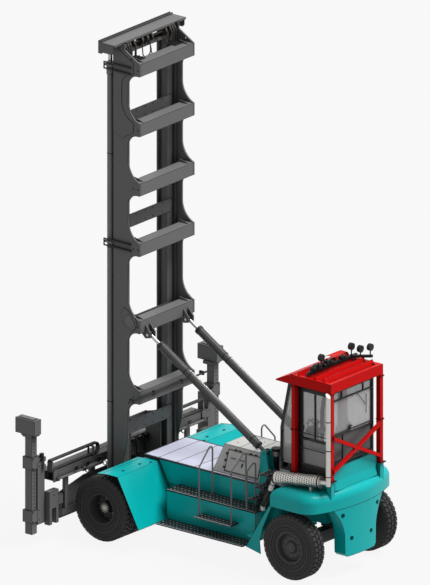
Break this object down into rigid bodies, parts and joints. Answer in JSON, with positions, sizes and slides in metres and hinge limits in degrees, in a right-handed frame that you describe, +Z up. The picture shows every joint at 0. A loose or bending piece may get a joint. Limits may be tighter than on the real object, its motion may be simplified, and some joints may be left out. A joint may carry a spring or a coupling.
{
  "type": "empty-container handler (heavy forklift truck with side spreader)",
  "caption": "Heavy counterweight truck with a tall two-stage mast, a telescopic container spreader, twin drive wheels, steered rear wheels and a guarded rear cab.",
  "frame": {"origin": "on the floor, at the middle of the overall length and width", "axes": "+X forward, +Y to the driver's left, +Z up"},
  "size_m": [6.56, 6.06, 10.38],
  "materials": {
    "teal_paint": "gloss enamel",
    "mast_paint": "satin enamel",
    "guard_red_paint": "gloss enamel",
    "hood_grey_paint": "satin enamel",
    "deck_plate": "satin enamel",
    "black_paint": "satin enamel",
    "cast_grey": "painted casting",
    "chrome_rod": "hard chrome",
    "exhaust_steel": "matt steel",
    "chain_steel": "oiled steel",
    "hose_rubber": "rubber",
    "tyre_rubber": "rubber",
    "cab_glass": "tinted",
    "seat_fabric": "woven",
    "console_plastic": "moulded"
  },
  "bodies": {
    "chassis": {"chassis_frame": "teal_paint", "front_fenders": "teal_paint", "side_boxes": "teal_paint", "rear_body": "teal_paint", "counterweight": "teal_paint", "running_boards": "black_paint", "deck_plates": "deck_plate", "engine_hood": "hood_grey_paint", "engine_block": "cast_grey", "handrails": "black_paint", "drive_axle": "cast_grey", "steer_axle": "cast_grey", "cab_frame": "black_paint", "cab_glass": "cab_glass", "driver_seat": "seat_fabric", "steering_console": "console_plastic", "fops_frame": "guard_red_paint", "work_lamps": "black_paint", "exhaust": "exhaust_steel", "air_intake": "black_paint"},
    "cab_door": {"cab_door": "black_paint", "cab_door_glass": "cab_glass"},
    "drive_wheel_left": {"drive_tyres_left": "tyre_rubber", "drive_rims_left": "cast_grey"},
    "knuckle_left": {"knuckle_left": "cast_grey"},
    "steer_wheel_left": {"steer_tyre_left": "tyre_rubber", "steer_rim_left": "cast_grey"},
    "tilt_barrel_left": {"tilt_barrel_left": "mast_paint"},
    "tilt_rod_left": {"tilt_rod_left": "chrome_rod"},
    "drive_wheel_right": {"drive_tyres_right": "tyre_rubber", "drive_rims_right": "cast_grey"},
    "knuckle_right": {"knuckle_right": "cast_grey"},
    "steer_wheel_right": {"steer_tyre_right": "tyre_rubber", "steer_rim_right": "cast_grey"},
    "tilt_barrel_right": {"tilt_barrel_right": "mast_paint"},
    "tilt_rod_right": {"tilt_rod_right": "chrome_rod"},
    "outer_mast": {"outer_mast_uprights": "mast_paint", "outer_mast_crossbeams": "mast_paint", "lift_barrels": "mast_paint", "mast_fittings": "black_paint"},
    "inner_mast": {"inner_mast_uprights": "mast_paint", "inner_mast_crossbeams": "mast_paint", "mast_head": "mast_paint", "head_chains": "chain_steel", "lift_rods": "chrome_rod"},
    "carriage": {"carriage": "mast_paint", "spreader_frame": "mast_paint", "spreader_hoses": "hose_rubber"},
    "telescope_left": {"telescope_left": "mast_paint", "spreader_head_left": "mast_paint"},
    "telescope_right": {"telescope_right": "mast_paint", "spreader_head_right": "mast_paint"}
  },
  "joints": [
    {"name": "drive_wheel_left_spin", "type": "hinge", "parent": "chassis", "child": "drive_wheel_left", "pos_m": [2, 1.45, 0.685], "axis": [0, 1, 0], "continuous": true},
    {"name": "drive_wheel_right_spin", "type": "hinge", "parent": "chassis", "child": "drive_wheel_right", "pos_m": [2, -1.45, 0.685], "axis": [0, 1, 0], "continuous": true},
    {"name": "steering", "type": "hinge", "parent": "chassis", "child": "knuckle_left", "pos_m": [-2.457, 0.9, 0.685], "axis": [0, 0, 1], "range_deg": [-45, 45]},
    {"name": "steer_wheel_left_spin", "type": "hinge", "parent": "knuckle_left", "child": "steer_wheel_left", "pos_m": [-2.457, 1.1675, 0.685], "axis": [0, 1, 0], "continuous": true},
    {"name": "steering_right", "type": "hinge", "parent": "chassis", "child": "knuckle_right", "pos_m": [-2.457, -0.9, 0.685], "axis": [0, 0, 1], "range_deg": [-45.5, 45.5]},
    {"name": "steer_wheel_right_spin", "type": "hinge", "parent": "knuckle_right", "child": "steer_wheel_right", "pos_m": [-2.457, -1.1675, 0.685], "axis": [0, 1, 0], "continuous": true},
    {"name": "mast_tilt", "type": "hinge", "parent": "chassis", "child": "outer_mast", "pos_m": [2.3, 0, 0.6], "axis": [0, 1, 0], "range_deg": [-3, 5]},
    {"name": "tilt_barrel_left_swing", "type": "hinge", "parent": "chassis", "child": "tilt_barrel_left", "pos_m": [-1.28, 0.614, 2.27], "axis": [0, 1, 0], "range_deg": [-1.39, 2.18]},
    {"name": "tilt_rod_left_slide", "type": "slide", "parent": "tilt_barrel_left", "child": "tilt_rod_left", "axis": [0.8479, 0, 0.5301], "range_m": [-0.1775, 0.2932]},
    {"name": "tilt_barrel_right_swing", "type": "hinge", "parent": "chassis", "child": "tilt_barrel_right", "pos_m": [-1.28, -0.614, 2.27], "axis": [0, 1, 0], "range_deg": [-1.39, 2.18]},
    {"name": "tilt_rod_right_slide", "type": "slide", "parent": "tilt_barrel_right", "child": "tilt_rod_right", "axis": [0.8479, 0, 0.5301], "range_m": [-0.1775, 0.2932]},
    {"name": "mast_lift", "type": "slide", "parent": "outer_mast", "child": "inner_mast", "axis": [0, 0, 1], "range_m": [0, 7]},
    {"name": "carriage_lift", "type": "slide", "parent": "inner_mast", "child": "carriage", "axis": [0, 0, 1], "range_m": [0, 7]},
    {"name": "spreader_extend", "type": "slide", "parent": "carriage", "child": "telescope_left", "axis": [0, 1, 0], "range_m": [0, 3.05]},
    {"name": "spreader_extend_right", "type": "slide", "parent": "carriage", "child": "telescope_right", "axis": [0, -1, 0], "range_m": [0, 3.05]},
    {"name": "cab_door_swing", "type": "hinge", "parent": "chassis", "child": "cab_door", "pos_m": [-2.995, 0.716, 3], "axis": [0, 0, 1], "range_deg": [0, 80]}
  ],
  "couplings": [
    {"joint": "steering_right", "follows": "steering", "ratio": 1},
    {"joint": "carriage_lift", "follows": "mast_lift", "ratio": 1},
    {"joint": "spreader_extend_right", "follows": "spreader_extend", "ratio": 1},
    {"joint": "tilt_barrel_left_swing", "follows": "mast_tilt", "ratio": 0.39528},
    {"joint": "tilt_rod_left_slide", "follows": "mast_tilt", "m_per_rad": 3.3139},
    {"joint": "tilt_barrel_right_swing", "follows": "mast_tilt", "ratio": 0.39528},
    {"joint": "tilt_rod_right_slide", "follows": "mast_tilt", "m_per_rad": 3.3139}
  ]
}
